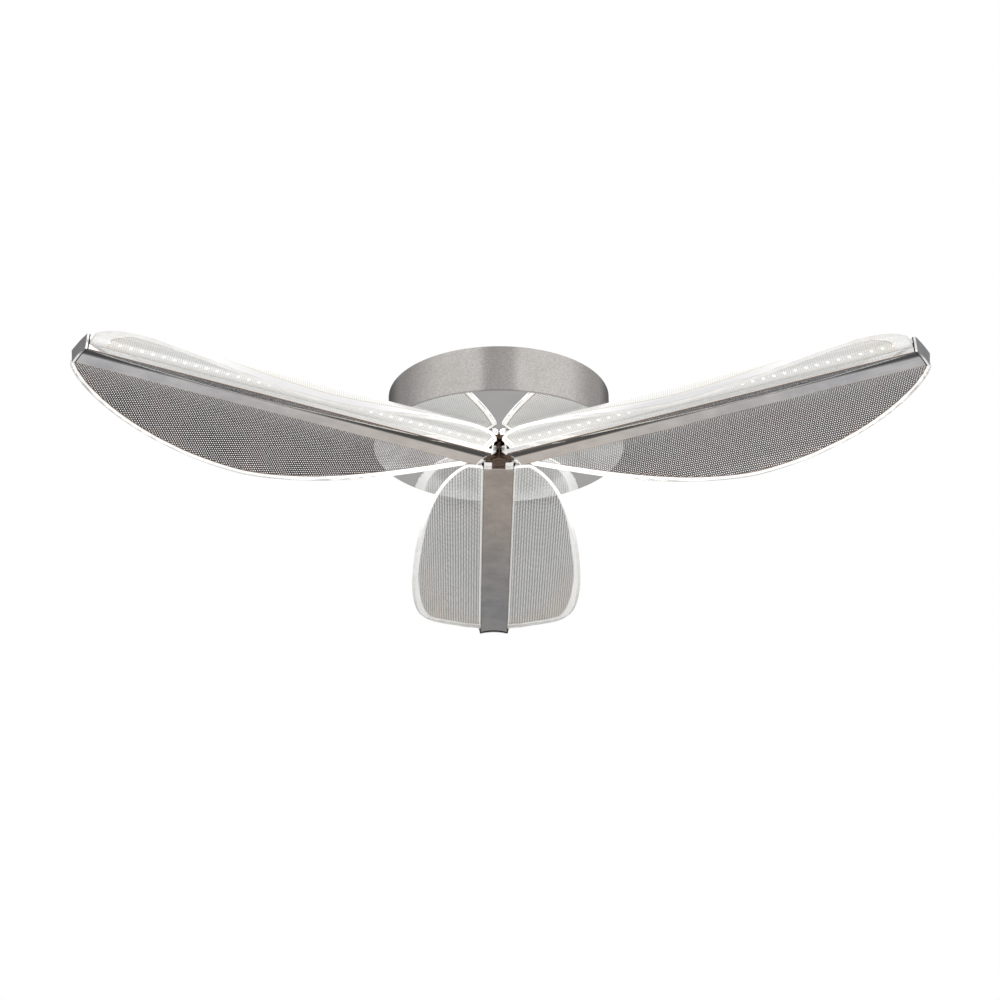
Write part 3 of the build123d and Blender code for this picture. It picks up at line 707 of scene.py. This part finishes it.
def dotted_acrylic(kind):
    """Upper face of a leaf: a field of engraved dots that glow, inside a plain band painted bright,
    with painted shade along the rim.
    """
    look = LEAF_LOOKS[kind]
    material, tree, shader = new_material(
        f"dotted_acrylic_{kind}", Roughness=0.12, IOR=1.49, Emission_Strength=1.0
    )
    place, width, length = leaf_places(tree)
    rim = stored(tree, "rim")
    inner = stored(tree, "inner")
    wear = wear_of(tree, 0.04)
    dots = use_group(
        tree,
        engraved_dots,
        Place=place,
        Pitch=look["pitch"] * MM,
        Turn=radians(look["turn"]),
        Radius=look["radius"],
    )["Dots"]
    field = ramp(tree, inner, *FIELD_START)
    outline = product(tree, field, fade(tree, inner, *OUTLINE_WIDTH))
    outer = fade(tree, rim, *RIM_SHADE_WIDTH)
    root = fade(tree, width, *ROOT_STRIP_WIDTH)
    off_spot = product(tree, off_chip(tree, length), CHIP_PITCH)
    off_spot = diagonal(tree, off_spot, difference(tree, width, SPOT_FROM_ROOT))
    spot = ramp(tree, off_spot, *SPOT_RADIUS, look["spots"], 0.0)

    lit = product(tree, calculate(tree, "MAXIMUM", root, spot), LIT_COVER)
    bare = blend_values(tree, wear, look["ground_cover"], look["stain_cover"])
    cover = calculate(tree, "MAXIMUM", blend_values(tree, dots, bare, DOT_COVER), lit)
    cover = calculate(tree, "MAXIMUM", cover, product(tree, outline, OUTLINE_COVER))
    cover = blend_values(tree, field, BAND_COVER, cover)

    colour = blend_colours(tree, wear, look["ground"], look["stain"])
    colour = blend_colours(tree, dots, colour, grey(look["dot"]))
    tint = product(tree, fade(tree, inner, *TINT_WIDTH), ramp(tree, length, *TINT_START))
    tint = product(tree, tint, look["tint"])
    colour = blend_colours(tree, tint, colour, (0.66, 0.5, 0.3))
    colour = blend_colours(tree, outline, colour, look["outline"])
    # Painted shade: the band greys within a millimetre of the rim
    band = blend_colours(tree, outer, grey(look["band"]), (0.5, 0.49, 0.48))
    colour = blend_colours(tree, field, band, colour)

    # Painted glow of the plain band, set by kind near the hub, along the middle and at the tip,
    # fading at the rim
    near, middle, tip = look["band_glow"]
    away = ramp(tree, length, HUB_GLOW_START, look["hub_glow_end"])
    band_glow = blend_values(tree, away, near, middle)
    band_glow = blend_values(tree, ramp(tree, length, *TIP_GLOW_START), band_glow, tip)
    band_glow = blend_values(tree, outer, band_glow, RIM_GLOW)
    glow = blend_values(tree, dots, look["ground_glow"], look["dot_glow"])
    # Painted brightening of the field near the hub, set by kind
    glow = product(tree, glow, ramp(tree, length, *HUB_BOOST_RUN, look["hub_boost"], 1.0))
    glow = blend_values(tree, outline, glow, OUTLINE_GLOW)
    glow = blend_values(tree, root, glow, ROOT_GLOW)
    glow = blend_values(tree, spot, glow, SPOT_GLOW)
    glow = toned(tree, (1.0, 1.0, 0.97), blend_values(tree, field, band_glow, glow))
    fill(tree, shader, Alpha=cover, Base_Color=colour, Emission_Color=glow)
    return material


def clear_acrylic():
    """Lower face of a leaf: bare polished sheet that only mirrors at low angles."""
    material, tree, shader = new_material("clear_acrylic", Roughness=0.04, IOR=1.49)
    gloss = put(tree, "ShaderNodeFresnel", None, IOR=1.49).outputs[0]
    colour = blend_colours(tree, wear_of(tree, 0.03), grey(0.9), grey(0.86))
    cover = calculate(tree, "MULTIPLY_ADD", gloss, 0.95, 0.01)
    fill(tree, shader, Alpha=cover, Base_Color=colour)
    return material


def acrylic_edge():
    """Cut edge of a leaf, lit from within: brightest near the hub."""
    material, tree, shader = new_material(
        "acrylic_edge", Roughness=0.25, IOR=1.49, Emission_Strength=1.0
    )
    out = ramp(tree, leaf_places(tree)[2], *EDGE_GLOW_RUN)
    fill(
        tree,
        shader,
        Base_Color=blend_colours(tree, wear_of(tree, 0.01), (0.8, 0.79, 0.77), (0.72, 0.7, 0.67)),
        Emission_Color=blend_colours(tree, out, (0.6, 0.6, 0.58), (0.06, 0.06, 0.058)),
    )
    return material


finishes = {
    "sprayed_nickel": sprayed_nickel(),
    "mirror_polish": mirror_polish(),
    "polished_chrome": worn_metal(
        "polished_chrome", 0.004, (0.93, 0.92, 0.91), (0.86, 0.85, 0.84), (0.06, 0.12)
    ),
    "speckled_bronze": speckled_bronze(),
    "zinc_plate": zinc_plate(),
    "bearing_bronze": worn_metal(
        "bearing_bronze", 0.003, (0.55, 0.38, 0.18), (0.42, 0.28, 0.13), (0.28, 0.42)
    ),
    "driver_case": moulded_plastic("driver_case", (0.82, 0.82, 0.8), (0.78, 0.78, 0.75), 0.45),
    "nylon": moulded_plastic("nylon", (0.75, 0.73, 0.66), (0.7, 0.68, 0.6), 0.4),
    "grommet_rubber": moulded_plastic("grommet_rubber", grey(0.03), grey(0.05), 0.6),
    "lead_sleeve": moulded_plastic("lead_sleeve", (0.2, 0.09, 0.05), (0.16, 0.07, 0.04), 0.35),
}
for letter in ARM_ANGLES:
    finishes[f"bar_metal_{letter}"] = bar_metal(letter)
    finishes[f"cap_metal_{letter}"] = cap_metal(letter)
    finishes[f"led_board_{letter}"] = led_board(letter)
dotted_faces = {kind: dotted_acrylic(kind) for kind in LEAF_LOOKS}
clear_face = clear_acrylic()
cut_edge = acrylic_edge()

# Finish of every node whose shape stays
node_finishes = {
    "ceiling_strap": "zinc_plate",
    "cable_grommet": "grommet_rubber",
    "earth_screw": "zinc_plate",
    "strain_clamp": "nylon",
    "strain_clamp_screws": "zinc_plate",
    "canopy_screws": "polished_chrome",
    "canopy_shell": "sprayed_nickel",
    "polished_disc": "mirror_polish",
    "centre_post": "zinc_plate",
    "post_washer": "zinc_plate",
    "post_nut": "zinc_plate",
    "hub_block": "speckled_bronze",
    "led_driver": "driver_case",
    "driver_screws": "zinc_plate",
    "terminal_block": "nylon",
    "terminal_screw": "zinc_plate",
    "mains_leads": "lead_sleeve",
    "led_lead": "lead_sleeve",
}
for letter in ARM_ANGLES:
    node_finishes[f"bar_{letter}"] = f"bar_metal_{letter}"
    node_finishes[f"bar_cover_{letter}"] = f"bar_metal_{letter}"
    node_finishes[f"end_cap_{letter}"] = f"cap_metal_{letter}"
    node_finishes[f"cover_screws_{letter}"] = "zinc_plate"
    node_finishes[f"hinge_bracket_{letter}"] = "polished_chrome"
    node_finishes[f"hinge_pin_{letter}"] = "zinc_plate"
    node_finishes[f"hinge_washers_{letter}"] = "zinc_plate"
    node_finishes[f"friction_sleeve_{letter}"] = "bearing_bronze"
    node_finishes[f"led_strip_left_{letter}"] = f"led_board_{letter}"
    node_finishes[f"led_strip_right_{letter}"] = f"led_board_{letter}"

for node, finish in node_finishes.items():
    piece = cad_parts[node]
    piece.data.materials.clear()
    piece.data.materials.append(finishes[finish])
    piece.data.polygons.foreach_set("material_index", [0] * len(piece.data.polygons))
    smooth(piece)


# Leaves


def leaf_width(distance):
    """Developed width of a leaf at a distance from the hub axis."""
    if distance < LEAF_WIDEST:
        share = (LEAF_WIDEST - distance) / (LEAF_WIDEST - LEAF_INNER_TIP)
        roundness = LEAF_INNER_ROUNDNESS
    else:
        share = (distance - LEAF_WIDEST) / (ARM_REACH - LEAF_WIDEST)
        roundness = LEAF_OUTER_ROUNDNESS
    return LEAF_SPREAD * (1 - share**roundness) ** (1 / roundness)


def bent(width, depth, distance):
    """Point on arm A's right leaf at a developed width, a depth and a distance out."""
    bearing = pi / 2 + LEAF_ROOT_ANGLE - width / LEAF_BEND_RADIUS
    radius = LEAF_BEND_RADIUS + depth
    bend_half = LEAF_ROOT_HALF + LEAF_BEND_RADIUS * sin(LEAF_ROOT_ANGLE)
    bend_level = BAR_BOTTOM + LEAF_ROOT_RISE - LEAF_BEND_RADIUS * cos(LEAF_ROOT_ANGLE)
    return (bend_half + radius * cos(bearing), distance, bend_level + radius * sin(bearing))


def leaf_spots():
    """Spots on a leaf's surface, ring by ring along it, as width, depth and distance out."""
    spots = []
    for i in range(LEAF_RINGS):
        distance = LEAF_START + LEAF_RUN * (1 - cos(pi * i / (LEAF_RINGS - 1))) / 2
        wide = leaf_width(distance)
        flat = wide - LEAF_EDGE_BEVEL + LEAF_ROOT_DEPTH
        shares = [sin(pi / 2 * j / (LEAF_COLUMNS - 1)) for j in range(LEAF_COLUMNS)]
        widths = [-LEAF_ROOT_DEPTH + flat * share for share in shares]
        bevel_level = LEAF_HALF_THICKNESS - LEAF_EDGE_BEVEL
        spots += [(width, LEAF_HALF_THICKNESS, distance) for width in widths]
        spots += [(wide, bevel_level, distance), (wide, -bevel_level, distance)]
        spots += [(width, -LEAF_HALF_THICKNESS, distance) for width in reversed(widths)]
    return spots


def rim_distances(spots):
    """How far each spot lies from the leaf's rim."""
    marks = [LEAF_START + LEAF_RUN * i / OUTLINE_MARKS for i in range(OUTLINE_MARKS + 1)]
    outline = [Vector((leaf_width(mark), mark)) for mark in marks]
    rims = []
    for width, depth, distance in spots:
        here = Vector((width, distance))
        nearest = min((here - mark).length for mark in outline)
        rims.append(min(nearest, distance - LEAF_START, LEAF_END - distance))
    return rims


def leaf_faces():
    """Faces between a right leaf's rings and across its ends, and their slots."""
    size = 2 * LEAF_COLUMNS + 2
    faces = []
    slots = []
    for i in range(LEAF_RINGS - 1):
        here = i * size
        there = here + size
        for j in range(size):
            after = (j + 1) % size
            faces.append((here + j, here + after, there + after, there + j))
            if j < LEAF_COLUMNS - 1:
                slots.append(UPPER_FACE)
            elif LEAF_COLUMNS + 2 <= j < size - 1:
                slots.append(LOWER_FACE)
            else:
                slots.append(CUT_EDGE)
    for end in (0, LEAF_RINGS - 1):
        for j in range(size // 2 - 1):
            first = end * size + j
            last = end * size + size - 1 - j
            face = (first, last, last - 1, first + 1)
            faces.append(face if end else face[::-1])
            slots.append(CUT_EDGE)
    return faces, slots


def band_width(kind, distance):
    """Width of the plain band of a leaf at a distance from the hub axis."""
    marks = [(place * MM, width * MM) for place, width in BANDS[kind]]
    if distance <= marks[0][0]:
        return marks[0][1]
    for (start, first), (end, last) in zip(marks, marks[1:]):
        if distance <= end:
            return first + (last - first) * (distance - start) / (end - start)
    return marks[-1][1]


LEAF_SPOTS = leaf_spots()
LEAF_RIMS = rim_distances(LEAF_SPOTS)
LEAF_FACES, LEAF_SLOTS = leaf_faces()


def make_leaf(letter, side):
    """One bent leaf: side is 1 on the arm's right and -1 on its left."""
    turn = Matrix.Rotation(radians(ARM_ANGLES[letter]), 4, "Z")
    points = []
    for spot in LEAF_SPOTS:
        x, y, z = bent(*spot)
        points.append(turn @ Vector((side * x, y, z)))
    outward = LEAF_FACES if side > 0 else [face[::-1] for face in LEAF_FACES]
    place = f"{'right' if side > 0 else 'left'}_{letter}"
    kind = LEAF_KINDS[place]
    looks = [dotted_faces[kind], clear_face, cut_edge]
    leaf = new_piece(f"acrylic_leaf_{place}", points, outward, looks, LEAF_SLOTS)
    mesh = leaf.data
    spread = mesh.uv_layers.new(name="leaf")
    for loop in mesh.loops:
        width, depth, distance = LEAF_SPOTS[loop.vertex_index]
        spread.data[loop.index].uv = (width, distance)
    inner = [rim - band_width(kind, spot[2]) for rim, spot in zip(LEAF_RIMS, LEAF_SPOTS)]
    mesh.attributes.new("rim", "FLOAT", "POINT").data.foreach_set("value", LEAF_RIMS)
    mesh.attributes.new("inner", "FLOAT", "POINT").data.foreach_set("value", inner)
    smooth(leaf)
    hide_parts(f"leaf_{place}")
    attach(leaf, f"arm_{letter}")


for letter in ARM_ANGLES:
    make_leaf(letter, 1)
    make_leaf(letter, -1)


# Studio


def make_room():
    """White to the camera, grey steps in polished metal, and dark through a clear leaf."""
    world = bpy.data.worlds.new("studio")
    bpy.context.scene.world = world
    world.use_nodes = True
    tree = world.node_tree
    tree.nodes.clear()
    rays = put(tree, "ShaderNodeLightPath").outputs
    aim = put(tree, "ShaderNodeTexCoord").outputs["Generated"]
    level = put(tree, "ShaderNodeVectorMath", {"operation": "NORMALIZE"})
    feed(tree, level.inputs[0], scaled(tree, aim, (1.0, 1.0, 0.0)))
    sideways, depth = parts_of(tree, level.outputs[0])[:2]
    mirrored = ramp(tree, depth, *ROOM_STEPS_IN_DEPTH[0])
    for step in ROOM_STEPS_IN_DEPTH[1:]:
        mirrored = product(tree, mirrored, ramp(tree, depth, *step))
    mirrored = product(tree, mirrored, ramp(tree, sideways, *ROOM_STEP_SIDEWAYS))
    sight = parts_of(tree, aim)
    dark = blend_colours(tree, ramp(tree, sight[0], *DARK_TURN), DARK_LEFT, DARK_RIGHT)
    dark = blend_colours(tree, fade(tree, sight[2], *DARK_RISE), dark, DARK_LOW)
    faces_passed = rays["Transparent Depth"]
    through = calculate(tree, "GREATER_THAN", faces_passed, MORE_THAN_ONE_FACE)
    through = product(tree, rays["Is Camera Ray"], through)
    seen = calculate(tree, "MAXIMUM", rays["Is Camera Ray"], rays["Is Transmission Ray"])
    strength = blend_values(tree, rays["Is Glossy Ray"], SOFT_LIGHT, mirrored)
    strength = blend_values(tree, seen, strength, 1.0)
    white = blend_colours(tree, strength, grey(0.0), grey(1.0))
    shown = blend_colours(tree, through, white, dark)
    background = put(tree, "ShaderNodeBackground", None, Color=shown, Strength=1.0)
    put(tree, "ShaderNodeOutputWorld", None, Surface=background.outputs[0])


def make_floor():
    """Pale floor with soft shadows, clear from below; polished metal mirrors it in two tones."""
    material, tree, shader = new_material("pale_floor", Roughness=0.9, Emission_Color=grey(1.0))
    rays = put(tree, "ShaderNodeLightPath").outputs
    clouds = put(tree, "ShaderNodeTexNoise", None, Scale=3.0)
    tone = ramp(tree, clouds.outputs[0], 0.3, 0.7, 0.98, 1.0)
    own_light = product(tree, rays["Is Camera Ray"], FLOOR_OWN_LIGHT)
    fill(tree, shader, Base_Color=toned(tree, grey(0.88), tone), Emission_Strength=own_light)
    depth = parts_of(tree, place_in_frame(tree))[1]
    far = ramp(tree, depth, *FLOOR_TURNS_FAR)
    tones = blend_colours(tree, far, FLOOR_NEAR, FLOOR_FAR)
    mirrored = put(tree, "ShaderNodeEmission", None, Color=tones, Strength=1.0).outputs[0]
    above = mix_shaders(tree, rays["Is Glossy Ray"], shader.outputs[0], mirrored)
    clear = put(tree, "ShaderNodeBsdfTransparent").outputs[0]
    below = put(tree, "ShaderNodeNewGeometry").outputs["Backfacing"]
    whole = mix_shaders(tree, below, above, clear)
    fill(tree, tree.nodes["Material Output"], Surface=whole)
    corners = [
        (x * FLOOR_REACH, y * FLOOR_REACH, FLOOR_LEVEL)
        for x, y in ((-1, -1), (1, -1), (1, 1), (-1, 1))
    ]
    new_piece("floor", corners, [(0, 1, 2, 3)], [material])


def make_lamps():
    """Soft square lamps that face the light."""
    for name, place, size, power in LAMPS:
        lamp = bpy.data.lights.new(name, "AREA")
        lamp.energy = power
        lamp.size = size
        holder = bpy.data.objects.new(name, lamp)
        bpy.context.scene.collection.objects.link(holder)
        holder.location = place
        holder.rotation_euler = (-Vector(place)).to_track_quat("-Z", "Y").to_euler()


def make_camera():
    """Camera below and in front of the light, looking up."""
    scene = bpy.context.scene
    eye = bpy.data.cameras.new("camera")
    eye.lens = CAMERA_LENS
    eye.sensor_width = 36.0
    eye.clip_start = 0.05
    holder = bpy.data.objects.new("camera", eye)
    scene.collection.objects.link(holder)
    holder.location = CAMERA_PLACE
    holder.rotation_euler = CAMERA_TURN
    scene.camera = holder
    scene.view_settings.view_transform = "Standard"


make_room()
make_floor()
make_lamps()
make_camera()
